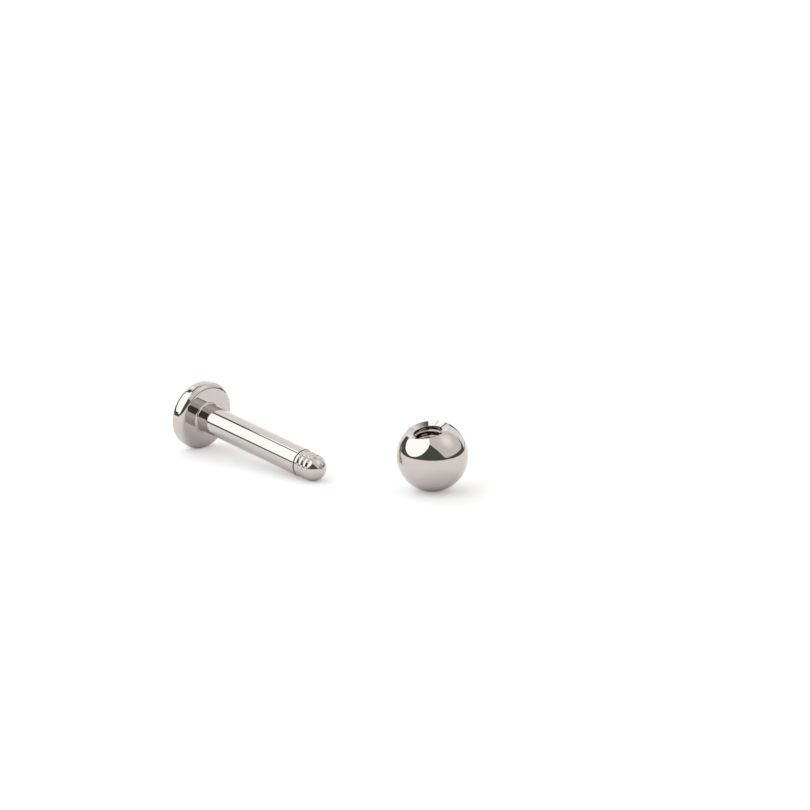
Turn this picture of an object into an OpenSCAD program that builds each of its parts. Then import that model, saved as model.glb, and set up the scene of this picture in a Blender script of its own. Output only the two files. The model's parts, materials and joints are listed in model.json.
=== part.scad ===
/* [Bar] */
// Diameter of the smooth bar, 1.6 for a 14 gauge piercing
bar_d = 1.6; // [1.5:0.05:2]
// Length of bar between the disc and the ball when the stud is worn
worn_len = 8; // [6:0.5:12]
// Radius of the fillet between the bar and the disc
root_r = 0.12; // [0.06:0.02:0.2]

/* [Disc] */
// Diameter of the disc that sits inside the lip
disc_d = 3.9; // [3.5:0.1:5]
// Thickness of the disc
disc_t = 1; // [0.9:0.05:1.4]
// Rounding of the rim on the side of the bar
inner_edge_r = 0.34; // [0.2:0.02:0.4]
// Rounding of the rim on the back
back_edge_r = 0.44; // [0.2:0.02:0.5]

/* [Thread] */
// Nominal diameter of the thread
thread_d = 1.6; // [1.4:0.1:1.6]
// Height that one turn climbs
pitch = 0.35; // [0.3:0.05:0.35]
// Length of the threaded end, with its domed tip
thread_len = 1.6; // [1.4:0.1:2]
// How far polishing has lowered the crests of the bar's thread
crest_cut = 0.04; // [0.02:0.01:0.06]
// Gap between the flanks of the two threads when they are screwed together
flank_gap = 0.02; // [0.01:0.005:0.03]

/* [Ball] */
// Diameter of the ball
ball_d = 4; // [3.8:0.1:5]
// Diameter of the shallow dish round the hole
dish_d = 2.44; // [2:0.04:2.6]
// Depth of the dish
dish_depth = 0.1; // [0.05:0.05:0.2]
// Depth of the seat that the end of the bar enters
seat_depth = 0.1; // [0.05:0.05:0.3]
// Radial gap between the seat and the bar
seat_gap = 0.04; // [0.02:0.01:0.06]
// Gap left under the tip when the ball is screwed home
tip_gap = 0.15; // [0.1:0.05:0.3]

/* [Lying] */
// How far ahead of the disc's face the ball lies, along the bar
ball_ahead = 14.95; // [13.5:0.05:18]
// How far to the side of the bar the ball lies
ball_aside = 3.5; // [0:0.1:6]
// Lean of the ball's hole from straight up, in degrees
hole_lean = 13; // [0:1:30]
// Direction in which the hole leans, in degrees from the bar's own direction
hole_turn = 265; // [0:5:355]

/* [Hidden] */
$fn = 96;

bar_r = bar_d / 2;
disc_r = disc_d / 2;
ball_r = ball_d / 2;

// The bar is as long as the worn length and what the ball takes in
bar_len = worn_len + dish_depth + seat_depth;
tip_z = bar_len + thread_len;

// Sixty degree thread: a crest one eighth of the pitch wide at the nominal diameter, and a bore
// drilled wide enough to tap hard steel
flank = tan(30);
major_r = thread_d / 2;
crest_r = major_r - crest_cut;
core_r = major_r - 0.6134 * pitch;
bore_r = major_r - 0.4 * pitch;
turn_steps = 48;
fade_turns = 0.15;
// How deep a ridge or a groove laps into the round that carries it
lap = 0.04;

// The tip is a half round as wide as the crests
dome_z = tip_z - crest_r;
core_end_z = dome_z + sqrt(crest_r * crest_r - core_r * core_r);

// Planes of the ball's hole, measured from the ball's centre
rim_z = sqrt(ball_r * ball_r - dish_d * dish_d / 4);
seat_z = rim_z - dish_depth;
ledge_z = seat_z - seat_depth;
floor_z = ledge_z - thread_len - tip_gap;
drill_point = 118;

// The stud lies on the disc's rim and on the last full crest: this is the slope of the bar
reach = dome_z + inner_edge_r;
drop = disc_r - inner_edge_r - crest_r;
tilt = atan2(drop, reach) + asin(inner_edge_r / norm([drop, reach]));
axis_z = (disc_r - inner_edge_r) * cos(tilt) + inner_edge_r * (1 - sin(tilt));

// Middle of the two pieces seen from above, where the origin is
back_x = -(disc_t - back_edge_r) * cos(tilt) - (disc_r - back_edge_r) * sin(tilt) - back_edge_r;
middle = [(back_x + ball_ahead + ball_r) / 2, (ball_aside + ball_r - disc_r) / 2];

// Half the width of the thread form at radius r, made smaller by the gap
function half_width(r, gap) = pitch / 16 + (major_r - r) * flank - gap / cos(30);

// Radius of the bar's crests at height z, which the domed tip cuts down
function crest_at(z) =
    z < dome_z ? crest_r : sqrt(max(crest_r * crest_r - (z - dome_z) * (z - dome_z), 0));

// One cross-section of a helical band at height z: inner edge from r_in, outer edge at r_out
function band_ring(z, r_in, r_out, gap) =
    let (a = 360 * z / pitch, w_in = half_width(max(r_in, core_r), gap), w_out = half_width(r_out, gap))
    [
        for (p = [[r_in, -w_in], [r_out, -w_out], [r_out, w_out], [r_in, w_in]])
            [p[0] * cos(a), p[0] * sin(a), z + p[1]]
    ];

// A helical band closed at both ends, from a list of cross-sections with four points each
module band(rings) {
    last = 4 * (len(rings) - 1);
    points = [for (ring = rings) for (p = ring) p];
    sides = [
        for (i = [0 : len(rings) - 2], k = [0 : 3])
            let (a = 4 * i + k, b = 4 * i + (k + 1) % 4)
            each [[a, b, b + 4], [a, b + 4, a + 4]]
    ];
    ends = [[0, 2, 1], [0, 3, 2], [last, last + 1, last + 2], [last, last + 2, last + 3]];
    polyhedron(points, concat(sides, ends), convexity = 8);
}

// A quarter of a ring in the profile plane, which fills an inside corner
module corner_fillet(x, y, r) {
    difference() {
        translate([x - lap, y - lap]) square(r + lap);
        translate([x + r, y + r]) circle(r);
    }
}

// Profile of the disc: its face on the bar's side is at zero
module disc_profile() {
    translate([0, -disc_t]) square([disc_r - back_edge_r, disc_t]);
    translate([0, back_edge_r - disc_t]) square([disc_r, disc_t - back_edge_r - inner_edge_r]);
    translate([0, -disc_t / 2]) square([disc_r - inner_edge_r, disc_t / 2]);
    for (edge = [[inner_edge_r, -inner_edge_r], [back_edge_r, back_edge_r - disc_t]])
        translate([disc_r - edge[0], edge[1]]) circle(edge[0]);
}

// Profile of the smooth bar and the fillet at its root
module bar_profile() {
    translate([0, -lap]) square([bar_r, bar_len + lap]);
    corner_fillet(bar_r, 0, root_r);
}

// Profile of the thread's core and the domed tip
module tip_profile() {
    translate([0, bar_len - lap]) square([core_r, core_end_z - bar_len + lap]);
    intersection() {
        translate([0, dome_z]) circle(crest_r);
        translate([0, core_end_z - lap]) square([core_r, crest_r]);
    }
}

// The raised thread: it starts at the shoulder and runs out in the dome
module bar_thread() {
    start = bar_len + pitch / 3;
    finish = core_end_z - pitch / 8;
    steps = round((finish - start) / pitch * turn_steps);
    band([
        for (i = [0 : steps])
            let (
                z = start + (finish - start) * i / steps,
                rise = min(1, i / (fade_turns * turn_steps)),
                full = core_r + (crest_at(z) - core_r) * rise
            )
            band_ring(z, core_r - lap, max(full, core_r - lap / 2), flank_gap)
    ]);
}

// Turns a shape from upright to lying, with the crest that meets the floor at the bottom
module lay_down() {
    translate([-middle[0], -middle[1], axis_z])
        rotate([0, 90 + tilt, 0])
            rotate([0, 0, -360 * dome_z / pitch])
                children();
}

module labret_post() {
    color("silver")
        lay_down() {
            rotate_extrude() {
                disc_profile();
                bar_profile();
                tip_profile();
            }
            bar_thread();
        }
}

// The hole as a solid: dish, seat, bore and drill point
module hole() {
    rotate_extrude()
        polygon([
            [0, ball_r],
            [dish_d / 2 + (ball_r - rim_z), ball_r],
            [dish_d / 2, rim_z],
            [bar_r + seat_gap, seat_z],
            [bar_r + seat_gap, ledge_z],
            [bore_r, ledge_z],
            [bore_r, floor_z],
            [0, floor_z - bore_r / tan(drill_point / 2)]
        ]);
}

// The groove that the bar's thread runs in, open at the ledge and fading out above the floor
module ball_groove() {
    start = ledge_z + pitch / 2;
    finish = floor_z + pitch;
    steps = round((start - finish) / pitch * turn_steps);
    band([
        for (i = [0 : steps])
            let (
                z = finish + (start - finish) * i / steps,
                rise = min(1, i / (fade_turns * turn_steps))
            )
            band_ring(z, bore_r - lap, bore_r - lap / 2 + (major_r - bore_r + lap / 2) * rise, 0)
    ]);
}

module ball_end() {
    color("silver")
        translate([ball_ahead - middle[0], ball_aside - middle[1], ball_r])
            rotate([0, hole_lean, hole_turn])
                difference() {
                    sphere(ball_r);
                    hole();
                    ball_groove();
                }
}

labret_post();
ball_end();
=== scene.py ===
import json
import math

import bmesh
import bpy
from bpy.props import FloatProperty, FloatVectorProperty, IntProperty, PointerProperty
from mathutils import Matrix, Vector


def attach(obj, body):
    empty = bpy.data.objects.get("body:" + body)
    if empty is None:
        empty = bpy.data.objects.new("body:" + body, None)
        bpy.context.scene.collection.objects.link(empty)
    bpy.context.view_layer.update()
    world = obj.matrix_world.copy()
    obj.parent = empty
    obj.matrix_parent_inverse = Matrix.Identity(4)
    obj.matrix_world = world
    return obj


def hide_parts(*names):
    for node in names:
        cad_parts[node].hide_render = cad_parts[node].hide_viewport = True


bl_info = {
    "name": "Labret Stud",
    "version": (1, 0, 0),
    "blender": (4, 5, 0),
    "location": "3D View > Sidebar > Labret Stud",
    "description": "Models a labret post and its screw-on ball in mirror-polished steel",
    "category": "Object",
}

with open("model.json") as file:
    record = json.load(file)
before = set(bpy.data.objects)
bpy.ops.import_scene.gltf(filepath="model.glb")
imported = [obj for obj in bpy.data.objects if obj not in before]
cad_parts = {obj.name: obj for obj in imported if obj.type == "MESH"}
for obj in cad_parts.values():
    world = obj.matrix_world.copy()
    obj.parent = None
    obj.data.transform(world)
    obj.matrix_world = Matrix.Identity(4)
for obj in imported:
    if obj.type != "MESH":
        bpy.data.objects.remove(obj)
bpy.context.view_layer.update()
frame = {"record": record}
MOUNTS = {mount["name"]: mount for mount in frame["record"]["mounts"]}

# The pieces are modelled in millimetres and brought to metres at the end, because bevels,
# merges and booleans work to fixed tolerances that are too coarse for steps of 0.02 mm.
MM = 1000.0
# Rounding that polishing leaves on a sharp edge, in millimetres
EDGE = 0.02
# Steps in one turn of a thread
TURN_STEPS = 96
# Edges flatter than this are smooth
SMOOTH = math.radians(38)
# Half the angle of a drill's point
DRILL_HALF = math.radians(59)
# From the ball's centre up its axis to the place that the thread's mount gives, in metres
MOUNT_RISE = 0.00051


def linear(code):
    """Scene-linear red, green and blue of an sRGB hex code."""
    parts = [int(code[i : i + 2], 16) / 255 for i in (0, 2, 4)]
    return tuple(c / 12.92 if c <= 0.04045 else ((c + 0.055) / 1.055) ** 2.4 for c in parts)


def size(name, description, default):
    """A length property, in metres."""
    return FloatProperty(
        name=name, description=description, default=default, min=0, unit="LENGTH", precision=5
    )


def angle(name, description, default):
    """An angle property, its default in degrees."""
    return FloatProperty(
        name=name, description=description, default=math.radians(default), subtype="ANGLE"
    )


class LabretPostSizes(bpy.types.PropertyGroup):
    bar_d: size("Bar diameter", "Diameter of the smooth bar", 0.0016)
    bar_len: size("Bar length", "From the disc's face to the shoulder", 0.0082)
    root_r: size("Root fillet", "Fillet between the bar and the disc", 0.00012)
    disc_d: size("Disc diameter", "Diameter of the disc inside the lip", 0.0039)
    disc_t: size("Disc thickness", "Thickness of the disc", 0.001)
    face_edge_r: size("Face edge", "Rounding of the rim towards the bar", 0.00034)
    back_edge_r: size("Back edge", "Rounding of the rim at the back", 0.00044)
    thread_len: size("Thread length", "Threaded end with its domed tip", 0.0016)
    crest_d: size("Crest diameter", "Diameter over the thread's crests", 0.00152)
    groove_d: size("Groove diameter", "Diameter at the bottom of the thread's grooves", 0.0013)
    relief_d: size("Relief diameter", "Narrow relief behind the thread", 0.00138)
    pitch: size("Pitch", "Height that one turn climbs", 0.00035)
    start: angle("Start of the thread", "How far round the axis the thread is turned", -97)


class LabretBallSizes(bpy.types.PropertyGroup):
    ball_d: size("Ball diameter", "Diameter of the ball", 0.004)
    dish_d: size("Dish diameter", "Shallow dish round the hole", 0.00244)
    dish_depth: size("Dish depth", "Depth of the dish", 0.00014)
    seat_d: size("Seat diameter", "Seat that takes the end of the bar", 0.00162)
    seat_depth: size("Seat depth", "Depth of the seat", 0.0001)
    bore_d: size("Bore diameter", "Bore inside the thread", 0.00146)
    bore_len: size("Bore length", "From the rim of the dish to the drill point", 0.00195)
    groove_d: size("Groove diameter", "Diameter at the bottom of the thread's groove", 0.0016)
    pitch: size("Pitch", "Height that one turn climbs", 0.00035)
    start: angle("Start of the thread", "How far round the axis the thread is turned", 9)


class LabretSteelFinish(bpy.types.PropertyGroup):
    colour: FloatVectorProperty(
        name="Steel",
        description="What the steel mirrors of white light, seen straight on",
        subtype="COLOR",
        size=3,
        min=0,
        max=1,
        default=linear("C3BCB9"),
    )
    # Darker than the steel: painted shade inside the tapped hole. The cut surface itself is only
    # hazier.
    tapped_and_shaded: FloatVectorProperty(
        name="Tapped steel",
        description="What the torn surface of the tapped hole mirrors of white light",
        subtype="COLOR",
        size=3,
        min=0,
        max=1,
        default=linear("988F8C"),
    )
    roughness: FloatProperty(
        name="Haze",
        description="Roughness left by the last polish",
        subtype="FACTOR",
        min=0,
        max=1,
        default=0.025,
    )
    cut_roughness: FloatProperty(
        name="Haze in the thread",
        description="Roughness of the cut thread, which the mop hardly reaches",
        subtype="FACTOR",
        min=0,
        max=1,
        default=0.07,
    )
    facets: IntProperty(
        name="Sides", description="Sides of a round piece", default=192, min=48, max=256
    )


class LabretStudio(bpy.types.PropertyGroup):
    camera: FloatVectorProperty(
        name="Camera",
        description="Where the camera stands",
        subtype="TRANSLATION",
        unit="LENGTH",
        size=3,
        default=(0.2693126, -0.2419239, 0.0998496),
    )
    turn: FloatProperty(
        name="Turn",
        description="The camera's direction, from +Y towards -X",
        subtype="ANGLE",
        default=math.radians(47.3472),
    )
    dip: FloatProperty(
        name="Dip",
        description="How far the camera looks down",
        subtype="ANGLE",
        default=math.radians(14.858),
    )
    lens: FloatProperty(
        name="Lens",
        description="Focal length on a 36 mm sensor",
        unit="CAMERA",
        default=298.476,
    )
    key: FloatProperty(
        name="Round softbox", description="Brightness of the round softbox", default=1.9, min=0
    )
    side: FloatProperty(
        name="Square softbox", description="Brightness of the square softbox", default=0.95, min=0
    )
    back: FloatProperty(
        name="Background", description="Brightness of the lit background", default=1.2, min=0
    )
    fill: FloatProperty(
        name="Fill", description="Power of the fill light, in watts", default=0.17, min=0
    )
    room: FloatVectorProperty(
        name="Room",
        description="Colour of the dark room round the table",
        subtype="COLOR",
        size=3,
        min=0,
        max=1,
        default=linear("5F605B"),
    )


def deselect():
    bpy.ops.object.select_all(action="DESELECT")


def pick(obj, mode, wanted):
    """Selects in edit mode the faces or edges that wanted() says yes to."""
    bpy.ops.mesh.select_mode(type=mode)
    bpy.ops.mesh.select_all(action="DESELECT")
    shape = bmesh.from_edit_mesh(obj.data)
    found = [x for x in (shape.faces if mode == "FACE" else shape.edges) if wanted(x)]
    if not found:
        raise RuntimeError(f"{obj.name}: nothing to select")
    for x in found:
        x.select_set(True)
    bmesh.update_edit_mesh(obj.data)


def end_face(z):
    """The face that closes a turned piece at height z."""

    def wanted(face):
        c = face.calc_center_median()
        return math.hypot(c.x, c.y) < 1e-3 and abs(c.z - z) < 1e-3

    return wanted


def ring(r, z):
    """The ring of edges at radius r and height z."""

    def on(v):
        return abs(math.hypot(v.co.x, v.co.y) - r) < 2e-3 and abs(v.co.z - z) < 2e-3

    return lambda edge: all(on(v) for v in edge.verts)


def raise_face(dz, widen=1.0):
    """Extrudes the selected end face along the axis, and widens or narrows it."""
    bpy.ops.mesh.extrude_region_move(TRANSFORM_OT_translate={"value": (0, 0, dz)})
    if widen != 1:
        bpy.ops.transform.resize(value=(widen, widen, 1), center_override=(0, 0, 0))


def round_ring(obj, r, z, radius, segments):
    """Rounds the ring of edges at radius r and height z."""
    pick(obj, "EDGE", ring(r, z))
    bpy.ops.mesh.bevel(
        offset=radius, segments=segments, profile=0.5, affect="EDGES", clamp_overlap=False
    )


def helix(name, outline, pitch, start, turns):
    """A tool for cutting threads: the outline, points of radius and height, wound round the
    axis. At height z it stands at the angle 360 * z / pitch, so the thread is right-handed."""
    deselect()
    bpy.ops.mesh.primitive_circle_add(vertices=len(outline), radius=1, fill_type="NGON")
    tool = bpy.context.object
    tool.name = name
    for vertex, (r, z) in zip(tool.data.vertices, outline):
        vertex.co = (r, 0, z + start)
    tool.data.transform(Matrix.Rotation(2 * math.pi * start / pitch, 4, "Z"))
    screw = tool.modifiers.new("Wind", "SCREW")
    screw.angle = 2 * math.pi * turns
    screw.screw_offset = pitch * turns
    screw.steps = screw.render_steps = round(TURN_STEPS * turns)
    bpy.ops.object.modifier_apply(modifier=screw.name)
    bpy.ops.object.mode_set(mode="EDIT")
    bpy.ops.mesh.select_all(action="SELECT")
    bpy.ops.mesh.remove_doubles(threshold=1e-5)
    bpy.ops.mesh.fill_holes(sides=0)
    bpy.ops.mesh.normals_make_consistent(inside=False)
    bpy.ops.object.mode_set(mode="OBJECT")
    return tool


def cut_away(obj, tool):
    """Takes the tool's shape out of obj."""
    deselect()
    bpy.context.view_layer.objects.active = obj
    obj.select_set(True)
    cut = obj.modifiers.new("Cut", "BOOLEAN")
    cut.operation = "DIFFERENCE"
    cut.solver = "EXACT"
    cut.object = tool
    bpy.ops.object.modifier_apply(modifier=cut.name)
    bpy.data.objects.remove(tool)


def finish_piece(obj, place, node):
    """Smooths a piece, brings it to metres and to its place and lets it stand for its node."""
    deselect()
    bpy.context.view_layer.objects.active = obj
    obj.select_set(True)
    bpy.ops.object.shade_smooth_by_angle(angle=SMOOTH)
    # Large faces lead at the edges that they share with roundings, so mirror faces stay true.
    lead = obj.modifiers.new("Lead", "WEIGHTED_NORMAL")
    lead.mode, lead.keep_sharp = "FACE_AREA_WITH_ANGLE", True
    bpy.ops.object.modifier_apply(modifier=lead.name)
    obj.matrix_world = place @ Matrix.Scale(1 / MM, 4)
    bpy.ops.object.transform_apply(location=True, rotation=True, scale=True)
    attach(obj, "root")
    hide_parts(node)


def add_node(tree, kind, values=None, links=None, **settings):
    """A node with its settings, its sockets' values and what its sockets are linked to."""
    node = tree.nodes.new(kind)
    for name, value in settings.items():
        setattr(node, name, value)
    for socket, value in (values or {}).items():
        node.inputs[socket].default_value = value
    for socket, source in (links or {}).items():
        tree.links.new(source, node.inputs[socket])
    return node


def new_material(name):
    """An empty material and its node tree."""
    material = bpy.data.materials.new(name)
    material.use_nodes = True
    material.node_tree.nodes.clear()
    return material, material.node_tree


def steel(name, colour, roughness, axis):
    """Surgical steel 316L, turned, ground and buffed to a mirror. The eye sees its
    surroundings, a little darker and warmer, in crisp edges that waver very slightly.
    axis is the direction of the lathe's axis, round which the last marks run."""
    material, tree = new_material(name)
    where = add_node(tree, "ShaderNodeTexCoord")
    turn = axis.to_track_quat("Z", "Y").inverted().to_euler()
    along = add_node(
        tree,
        "ShaderNodeMapping",
        {"Rotation": turn},
        {"Vector": where.outputs["Object"]},
    )
    # Buffing leaves soft swells about 0.7 mm across and a tenth of a micron high.
    swell_size, swell_height = 0.0007, 2.0e-7
    swell = add_node(
        tree,
        "ShaderNodeTexNoise",
        {"Scale": 1 / swell_size, "Detail": 1.0},
        {"Vector": along.outputs["Vector"]},
    )
    # Grinding marks run round the axis. Real ones are about 0.01 mm apart, too fine to show,
    # so they are drawn ten times coarser: 0.1 mm along the axis, drawn out across it.
    mark_size, mark_height, drawn_out = 0.0001, 1.5e-8, 0.05
    rings = add_node(
        tree,
        "ShaderNodeMapping",
        {"Scale": (drawn_out, drawn_out, 1.0)},
        {"Vector": along.outputs["Vector"]},
    )
    marks = add_node(
        tree,
        "ShaderNodeTexNoise",
        {"Scale": 1 / mark_size, "Detail": 2.0},
        {"Vector": rings.outputs["Vector"]},
    )
    haze = add_node(
        tree,
        "ShaderNodeMapRange",
        {"From Min": 0.35, "From Max": 0.7, "To Min": roughness * 0.7, "To Max": roughness * 1.5},
        {"Value": marks.outputs["Fac"]},
    )
    low = add_node(
        tree,
        "ShaderNodeBump",
        {"Strength": 1.0, "Distance": swell_height},
        {"Height": swell.outputs["Fac"]},
    )
    fine = add_node(
        tree,
        "ShaderNodeBump",
        {"Strength": 1.0, "Distance": mark_height},
        {"Height": marks.outputs["Fac"], "Normal": low.outputs["Normal"]},
    )
    shader = add_node(
        tree,
        "ShaderNodeBsdfPrincipled",
        {"Base Color": (*colour, 1), "Metallic": 1.0},
        {"Roughness": haze.outputs["Result"], "Normal": fine.outputs["Normal"]},
    )
    add_node(tree, "ShaderNodeOutputMaterial", links={"Surface": shader.outputs["BSDF"]})
    return material


def thread_faces(obj, z0, z1, r0, r1):
    """Gives the second material to the faces between two heights and two radii."""
    for face in obj.data.polygons:
        r = math.hypot(face.center.x, face.center.y)
        if z0 < face.center.z < z1 and r0 < r < r1:
            face.material_index = 1


def groove_outline(crest, deep, pitch):
    """Outline of the groove between two crests, as points of radius and height. The crest
    is flat for twice land, rolls over with the radius roll, as tumbling leaves it, and
    the sides lean 52 degrees from the axis."""
    land, roll, lean, steps, clear = 0.055, 0.045, math.radians(52), 8, 0.1
    half = pitch / 2 - land
    side = [(crest + clear, half)]
    for k in range(steps + 1):
        a = lean * k / steps
        side.append((crest - roll * (1 - math.cos(a)), half - roll * math.sin(a)))
    r, z = side[-1]
    side.append((deep, z - (r - deep) / math.tan(lean)))
    return side + [(r, -z) for r, z in reversed(side)]


def tap_outline(bore, deep):
    """Outline of the groove that the tap cuts, as points of radius and height. The side that faces
    the mouth stands at 45 degrees and the other is steeper. The outline starts inside the bore,
    so that the tool cuts clean through the bore's wall."""
    low, high, slope, inside = -0.105, 0.135, deep - bore, bore - 0.04
    return [
        (inside, high + 0.02),
        (deep, high - slope / 2),
        (deep, low + slope),
        (inside, low - 0.04),
    ]


class LABRET_OT_post(bpy.types.Operator):
    """Turn the post from one rod: disc, bar, domed tip, then cut the thread"""

    bl_idname = "labret.post"
    bl_label = "Labret Post"

    def execute(self, context):
        s, finish = context.scene.labret_post, context.scene.labret_steel
        sides = finish.facets
        bar, disc, crest, deep, relief = (
            d * MM / 2 for d in (s.bar_d, s.disc_d, s.crest_d, s.groove_d, s.relief_d)
        )
        bar_len, disc_t, pitch = s.bar_len * MM, s.disc_t * MM, s.pitch * MM
        dome_z = bar_len + s.thread_len * MM - crest

        deselect()
        bpy.ops.mesh.primitive_cylinder_add(
            vertices=sides, radius=disc, depth=disc_t, location=(0, 0, -disc_t / 2)
        )
        obj = context.object
        obj.name = obj.data.name = "Labret_Post"
        bpy.ops.object.transform_apply(location=True, rotation=True, scale=True)
        bpy.ops.object.mode_set(mode="EDIT")
        pick(obj, "FACE", end_face(0))
        bpy.ops.mesh.inset(thickness=disc - bar)
        raise_face(bar_len)
        # A narrow relief parts the shoulder from the first turn.
        relief_flat, relief_slope = 0.02, 0.03
        bpy.ops.mesh.inset(thickness=bar - relief)
        raise_face(relief_flat)
        raise_face(relief_slope, crest / relief)
        raise_face(dome_z - bar_len - relief_flat - relief_slope)
        rings = 24
        for k in range(1, rings):
            low, high = (math.pi / 2 * i / rings for i in (k - 1, k))
            raise_face(crest * (math.sin(high) - math.sin(low)), math.cos(high) / math.cos(low))
        raise_face(crest * (1 - math.sin(math.pi / 2 * (rings - 1) / rings)))
        bpy.ops.mesh.merge(type="CENTER")

        round_ring(obj, disc, -disc_t, s.back_edge_r * MM, 20)
        round_ring(obj, disc, 0, s.face_edge_r * MM, 16)
        round_ring(obj, bar, 0, s.root_r * MM, 8)
        round_ring(obj, bar, bar_len, EDGE, 3)
        bpy.ops.object.mode_set(mode="OBJECT")

        tool = helix("Groove", groove_outline(crest, deep, pitch), pitch, bar_len - 0.6 * pitch, 4.6)
        # The last turns follow the dome inwards, and the groove runs out over half a turn.
        run_out = bar_len + 3.25 * pitch
        steepest = 0.9
        for vertex in tool.data.vertices:
            rise = min(max(vertex.co.z - dome_z, 0) / crest, steepest)
            fade = max(vertex.co.z - run_out, 0)
            shrink = math.sqrt(1 - rise * rise) + fade
            vertex.co.x *= shrink
            vertex.co.y *= shrink
        tool.data.transform(
            Matrix.Rotation(s.start - 2 * math.pi * (dome_z / pitch + 0.5), 4, "Z")
        )
        # The thread starts in the relief and leaves the bar alone.
        thread_z = bar_len + 0.01
        bpy.ops.object.mode_set(mode="EDIT")
        bpy.ops.mesh.select_all(action="SELECT")
        bpy.ops.mesh.bisect(
            plane_co=(0, 0, thread_z), plane_no=(0, 0, 1), use_fill=True, clear_inner=True
        )
        bpy.ops.object.mode_set(mode="OBJECT")
        cut_away(obj, tool)

        axis = Vector(MOUNTS["bar"]["axis"]).normalized()
        face = Vector(MOUNTS["bar"]["pos_m"]) - axis * (
            s.root_r + MOUNTS["bar"]["dims"]["length_mm"] / MM / 2
        )
        across = Vector((0, 1, 0))
        place = Matrix.Translation(face) @ Matrix(
            (across.cross(axis), across, axis)
        ).transposed().to_4x4()
        # The thread is cut with a die and only brushed by the mop, which leaves it hazier.
        for material in (
            steel("Steel_Ground_Mirror", finish.colour, finish.roughness, axis),
            steel("Steel_Thread_Cut", finish.colour, finish.cut_roughness, axis),
        ):
            obj.data.materials.append(material)
        thread_faces(obj, thread_z, dome_z + crest, 0, crest - 0.01)
        finish_piece(obj, place, "labret_post")
        return {"FINISHED"}


class LABRET_OT_ball(bpy.types.Operator):
    """Make the ball: bore, seat and dish, then tap the thread"""

    bl_idname = "labret.ball"
    bl_label = "Screw-on Ball"

    def execute(self, context):
        s, finish = context.scene.labret_ball, context.scene.labret_steel
        sides = finish.facets
        ball, dish, seat, bore, deep = (
            d * MM / 2 for d in (s.ball_d, s.dish_d, s.seat_d, s.bore_d, s.groove_d)
        )
        dish_t, seat_t, bore_len = (x * MM for x in (s.dish_depth, s.seat_depth, s.bore_len))
        pitch = s.pitch * MM
        rim_z = math.sqrt(ball * ball - dish * dish)
        seat_z = rim_z - dish_t
        floor_z = rim_z - bore_len

        deselect()
        bpy.ops.mesh.primitive_uv_sphere_add(segments=sides, ring_count=sides // 2, radius=ball)
        obj = context.object
        obj.name = obj.data.name = "Ball_End"
        bpy.ops.object.mode_set(mode="EDIT")
        bpy.ops.mesh.select_all(action="SELECT")
        bpy.ops.mesh.bisect(
            plane_co=(0, 0, rim_z), plane_no=(0, 0, 1), use_fill=True, clear_outer=True
        )
        pick(obj, "FACE", end_face(rim_z))
        raise_face(-dish_t, seat / dish)
        raise_face(-seat_t)
        bpy.ops.mesh.inset(thickness=seat - bore)
        raise_face(floor_z - seat_z + seat_t)
        raise_face(-bore / math.tan(DRILL_HALF))
        bpy.ops.mesh.merge(type="CENTER")
        round_ring(obj, dish, rim_z, EDGE, 3)
        round_ring(obj, seat, seat_z, EDGE, 3)
        bpy.ops.object.mode_set(mode="OBJECT")

        # The tap stops one turn above the drilled floor.
        turns = (seat_z - floor_z) / pitch - 1
        tool = helix("Tap", tap_outline(bore, deep), pitch, floor_z + pitch, turns)
        tool.data.transform(Matrix.Rotation(s.start, 4, "Z"))
        cut_away(obj, tool)

        axis = Vector(MOUNTS["ball_thread"]["axis"]).normalized()
        centre = Vector(MOUNTS["ball_thread"]["pos_m"]) - axis * MOUNT_RISE
        place = (
            Matrix.Translation(centre)
            @ Matrix.Rotation(math.atan2(axis.y, axis.x), 4, "Z")
            @ Matrix.Rotation(math.acos(axis.z), 4, "Y")
        )
        # The mop can't reach into the tapped hole, so it is hazier, and its darker colour is painted
        # shade inside the hole.
        for material in (
            steel("Steel_Ball_Mirror", finish.colour, finish.roughness, axis),
            steel("Steel_Tapped_Painted_Shade", finish.tapped_and_shaded, finish.cut_roughness, axis),
        ):
            obj.data.materials.append(material)
        # The faces inside the hole take the darker steel, which is painted shade.
        thread_faces(obj, floor_z - 1, seat_z - 0.03, 0, seat + 0.01)
        finish_piece(obj, place, "ball_end")
        return {"FINISHED"}


def toward(azimuth, elevation, turn):
    """A direction given from the camera's side: azimuth to its right, elevation above the
    table, both in degrees."""
    a, e = math.radians(azimuth), math.radians(elevation)
    near = Vector((math.sin(turn), -math.cos(turn), 0))
    right = Vector((math.cos(turn), math.sin(turn), 0))
    return (near * math.cos(a) + right * math.sin(a)) * math.cos(e) + Vector((0, 0, math.sin(e)))


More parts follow.
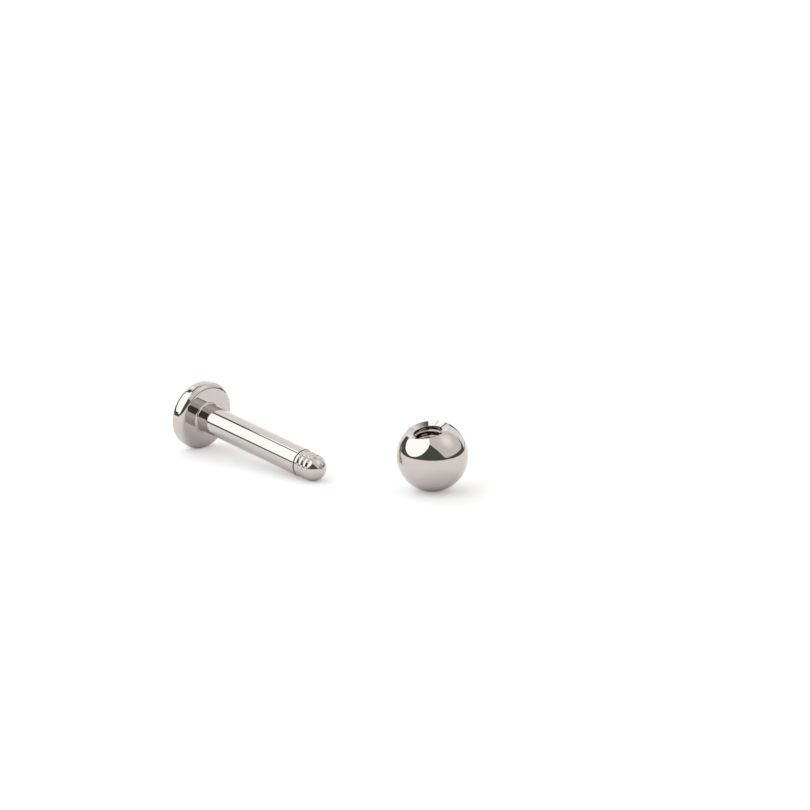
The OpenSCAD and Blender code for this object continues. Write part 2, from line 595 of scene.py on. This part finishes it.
def glow(name, strength, colour, warm_middle=0.0, reach=1.0, middle=(0, 0)):
    """Softbox cloth, lit from behind. It can be brighter towards the place named by middle,
    in metres, and its back is black."""
    material, tree = new_material(name)
    where = add_node(tree, "ShaderNodeTexCoord")
    scaled = add_node(
        tree,
        "ShaderNodeMapping",
        {"Location": (-middle[0] / reach, -middle[1] / reach, 0), "Scale": (1 / reach,) * 3},
        {"Vector": where.outputs["Object"]},
    )
    spot = add_node(
        tree,
        "ShaderNodeTexGradient",
        links={"Vector": scaled.outputs["Vector"]},
        gradient_type="SPHERICAL",
    )
    level = add_node(
        tree,
        "ShaderNodeMapRange",
        {"To Min": strength, "To Max": strength * (1 + warm_middle)},
        {"Value": spot.outputs["Fac"]},
        interpolation_type="SMOOTHSTEP",
    )
    side = add_node(tree, "ShaderNodeNewGeometry")
    front = add_node(
        tree,
        "ShaderNodeMath",
        {0: 1.0},
        {1: side.outputs["Backfacing"]},
        operation="SUBTRACT",
    )
    power = add_node(
        tree,
        "ShaderNodeMath",
        links={0: level.outputs["Result"], 1: front.outputs["Value"]},
        operation="MULTIPLY",
    )
    light = add_node(
        tree,
        "ShaderNodeEmission",
        {"Color": (*colour, 1)},
        {"Strength": power.outputs["Value"]},
    )
    add_node(tree, "ShaderNodeOutputMaterial", links={"Surface": light.outputs["Emission"]})
    return material


class LABRET_OT_studio(bpy.types.Operator):
    """Set up the table, the two softboxes, the lit background and the camera"""

    bl_idname = "labret.studio"
    bl_label = "Table and Studio"

    def table(self, turn):
        """A sheet of matt white board. The camera sees the board alone, and the steel mirrors
        its edges too."""
        deselect()
        bpy.ops.mesh.primitive_plane_add(size=1)
        obj = bpy.context.object
        obj.name = obj.data.name = "Table"
        left, right, near, far = -0.045, 0.09, 0.075, -0.31
        corners = [(left, near), (right, near), (left, far), (right, far)]
        for vertex, (u, w) in zip(obj.data.vertices, corners):
            vertex.co = toward(90, 0, turn) * u + toward(0, 0, turn) * w
        if obj.data.polygons[0].normal.z < 0:
            obj.data.flip_normals()
        material, tree = new_material("White_Board")
        # The board has a faint grain, 0.3 mm across and a tenth of a micron high.
        grain_size, grain_height = 0.0003, 1e-6
        where = add_node(tree, "ShaderNodeTexCoord")
        grain = add_node(
            tree,
            "ShaderNodeTexNoise",
            {"Scale": 1 / grain_size, "Detail": 3.0},
            {"Vector": where.outputs["Object"]},
        )
        bump = add_node(
            tree,
            "ShaderNodeBump",
            {"Strength": 0.1, "Distance": grain_height},
            {"Height": grain.outputs["Fac"]},
        )
        board = add_node(
            tree,
            "ShaderNodeBsdfDiffuse",
            {"Color": (*linear("FBF8FA"), 1)},
            {"Normal": bump.outputs["Normal"]},
        )
        # The camera sees the board this much closer to white than the steel mirrors it.
        lift = 0.3
        white = add_node(tree, "ShaderNodeEmission", {"Strength": 1.0})
        path = add_node(tree, "ShaderNodeLightPath")
        share = add_node(
            tree,
            "ShaderNodeMath",
            {1: lift},
            {0: path.outputs["Is Camera Ray"]},
            operation="MULTIPLY",
        )
        shader = add_node(
            tree,
            "ShaderNodeMixShader",
            links={
                0: share.outputs["Value"],
                1: board.outputs["BSDF"],
                2: white.outputs["Emission"],
            },
        )
        add_node(tree, "ShaderNodeOutputMaterial", links={"Surface": shader.outputs["Shader"]})
        obj.data.materials.append(material)
        return obj

    def panel(self, name, outline, middle, distance, rounding, material, turn):
        """A flat panel that faces the table's middle. Its outline is given from its middle, in
        shares of its distance: first towards larger azimuths, then up."""
        deselect()
        bpy.ops.mesh.primitive_circle_add(vertices=len(outline), fill_type="NGON")
        obj = bpy.context.object
        obj.name = obj.data.name = name
        for vertex, place in zip(obj.data.vertices, outline):
            vertex.co = (place[0] * distance, place[1] * distance, 0)
        bpy.ops.object.mode_set(mode="EDIT")
        bpy.ops.mesh.select_all(action="SELECT")
        if rounding:
            bpy.ops.mesh.bevel(
                offset=rounding * distance, segments=10, affect="VERTICES", clamp_overlap=False
            )
            bpy.ops.mesh.select_all(action="SELECT")
        bpy.ops.mesh.normals_make_consistent(inside=False)
        bpy.ops.object.mode_set(mode="OBJECT")
        if obj.data.polygons[0].normal.z > 0:
            obj.data.flip_normals()
        out = toward(*middle, turn)
        up = (Vector((0, 0, 1)) - out * out.z).normalized()
        obj.matrix_world = Matrix.Translation(out * distance) @ Matrix(
            (up.cross(out), up, out)
        ).transposed().to_4x4()
        obj.data.materials.append(material)
        return obj

    def softboxes(self, s):
        """The two softboxes in front and the lit background behind the table."""
        oval = []
        for k in range(64):
            a = math.tau * k / 64
            u, v = 0.87 * math.cos(a), (0.7 if k < 32 else 0.76) * math.sin(a)
            oval.append((u + 0.2 * max(v, 0), v))
        round_cloth = glow("Round_Cloth", s.key, linear("F9FFFF"))
        square_cloth = glow("Square_Cloth", s.side, linear("FFFEF8"), 0.5, 0.35, (0, -0.08))
        sheet = glow("Background_Sheet", s.back, linear("FFFFFF"))
        square = [(-1.09, -1.27), (1.35, -0.98), (0.6, 0.75), (-1.0, 0.95)]
        backdrop = [(-1.33, 0.02), (0.9, 0.0), (0.9, 2.6), (-1.33, 2.6)]
        return [
            self.panel("Round_Softbox", oval, (-71.3, 40.2), 0.5, 0, round_cloth, s.turn),
            self.panel("Square_Softbox", square, (75, 55), 0.6, 0.42, square_cloth, s.turn),
            self.panel("Background", backdrop, (180, 0), 0.3, 0, sheet, s.turn),
        ]

    def hung(self, s):
        """What hangs behind the table. The dish round the ball's hole mirrors the grey screen,
        the two strips and the high slat, and the ball's right mirrors the side slat. The bar
        mirrors the gap between the strips."""
        warm, cool, plain = linear("FFFEF8"), linear("F9FFFF"), linear("FFFFFF")
        return [
            self.panel(name, outline, middle, distance, 0, glow(*light), s.turn)
            for name, outline, middle, distance, light in (
                (
                    "Grey_Screen",
                    [(-0.3, -0.25), (0.0, -0.22), (0.21, -0.1), (0.215, 0.3), (-0.3, 0.3)],
                    (-178, 62),
                    0.4,
                    ("Screen_Cloth", 0.1, warm, 12.0, 0.16, (-0.04, -0.032)),
                ),
                (
                    "High_Strip",
                    [(-0.13, -0.105), (0.12, -0.105), (0.12, 0.075), (-0.13, 0.075)],
                    (-143, 60),
                    0.45,
                    ("High_Strip_Cloth", s.key, cool),
                ),
                (
                    "Low_Strip",
                    [(-0.12, -0.14), (0.12, -0.14), (0.12, 0.135), (-0.12, 0.135)],
                    (-144, 44),
                    0.45,
                    ("Low_Strip_Cloth", s.key, cool),
                ),
                (
                    "High_Slat",
                    [(0.48, 0.71), (0.7, 0.71), (0.7, 0.8), (0.48, 0.8)],
                    (180, 0),
                    0.29,
                    ("High_Slat_Black", 0.02, plain),
                ),
                (
                    "Side_Slat",
                    [(-0.5, 0.06), (-0.14, 0.06), (-0.14, 0.34), (-0.38, 0.34)],
                    (180, 0),
                    0.29,
                    ("Side_Slat_Black", 0.02, plain),
                ),
            )
        ]

    def fill(self, s):
        """A fill from behind, which lights the table alone: the steel doesn't mirror it."""
        azimuth, elevation, distance, width = -150, 45, 0.28, 0.2
        place = toward(azimuth, elevation, s.turn)
        deselect()
        bpy.ops.object.light_add(type="AREA", location=place * distance)
        lamp = bpy.context.object
        lamp.name = "Fill"
        lamp.rotation_euler = place.to_track_quat("Z", "Y").to_euler()
        lamp.data.shape, lamp.data.size = "DISK", width
        lamp.data.energy = s.fill
        lamp.visible_glossy = False
        return lamp

    def dark_room(self, s):
        """The steel mirrors a dark room, and the camera sees white past the table."""
        world = bpy.data.worlds.new("Dark_Room")
        bpy.context.scene.world = world
        world.use_nodes = True
        tree = world.node_tree
        tree.nodes.clear()
        path = add_node(tree, "ShaderNodeLightPath")
        # Sockets 6 and 7 are the two colours, and output 2 is their mixture.
        colour = add_node(
            tree,
            "ShaderNodeMix",
            {6: (*s.room, 1), 7: (1, 1, 1, 1)},
            {0: path.outputs["Is Camera Ray"]},
            data_type="RGBA",
        )
        sky = add_node(
            tree, "ShaderNodeBackground", {"Strength": 1.0}, {"Color": colour.outputs[2]}
        )
        add_node(tree, "ShaderNodeOutputWorld", links={"Surface": sky.outputs["Background"]})

    def camera(self, s):
        """The camera, at the place and with the lens that the settings give."""
        deselect()
        bpy.ops.object.camera_add(location=s.camera, rotation=(math.pi / 2 - s.dip, 0, s.turn))
        camera = bpy.context.object
        camera.name = "Camera"
        camera.data.sensor_width = 36
        camera.data.lens = s.lens
        camera.data.clip_start, camera.data.clip_end = 0.01, 5
        bpy.context.scene.camera = camera

    def execute(self, context):
        s = context.scene.labret_studio
        table = self.table(s.turn)
        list(self.softboxes(s))
        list(self.hung(s))
        self.fill(s)
        self.dark_room(s)
        self.camera(s)
        context.scene.view_settings.view_transform = "Standard"
        return {"FINISHED"}


class LABRET_PT_panel(bpy.types.Panel):
    """Sizes, finish and studio of the labret stud"""

    bl_idname = "LABRET_PT_panel"
    bl_label = "Labret Stud"
    bl_space_type = "VIEW_3D"
    bl_region_type = "UI"
    bl_category = "Labret Stud"

    def draw(self, context):
        for group, operator in PARTS:
            settings = getattr(context.scene, group)
            box = self.layout.box()
            for name in settings.__annotations__:
                box.prop(settings, name)
            if operator:
                box.operator(operator)


GROUPS = {
    "labret_steel": LabretSteelFinish,
    "labret_post": LabretPostSizes,
    "labret_ball": LabretBallSizes,
    "labret_studio": LabretStudio,
}
PARTS = (
    ("labret_steel", None),
    ("labret_post", LABRET_OT_post.bl_idname),
    ("labret_ball", LABRET_OT_ball.bl_idname),
    ("labret_studio", LABRET_OT_studio.bl_idname),
)
CLASSES = (
    *GROUPS.values(),
    LABRET_OT_post,
    LABRET_OT_ball,
    LABRET_OT_studio,
    LABRET_PT_panel,
)


def register():
    for cls in CLASSES:
        bpy.utils.register_class(cls)
    for name, group in GROUPS.items():
        setattr(bpy.types.Scene, name, PointerProperty(type=group))


def unregister():
    for name in GROUPS:
        delattr(bpy.types.Scene, name)
    for cls in reversed(CLASSES):
        bpy.utils.unregister_class(cls)


def main():
    register()
    bpy.ops.labret.post()
    bpy.ops.labret.ball()
    bpy.ops.labret.studio()


if __name__ == "__main__":
    main()
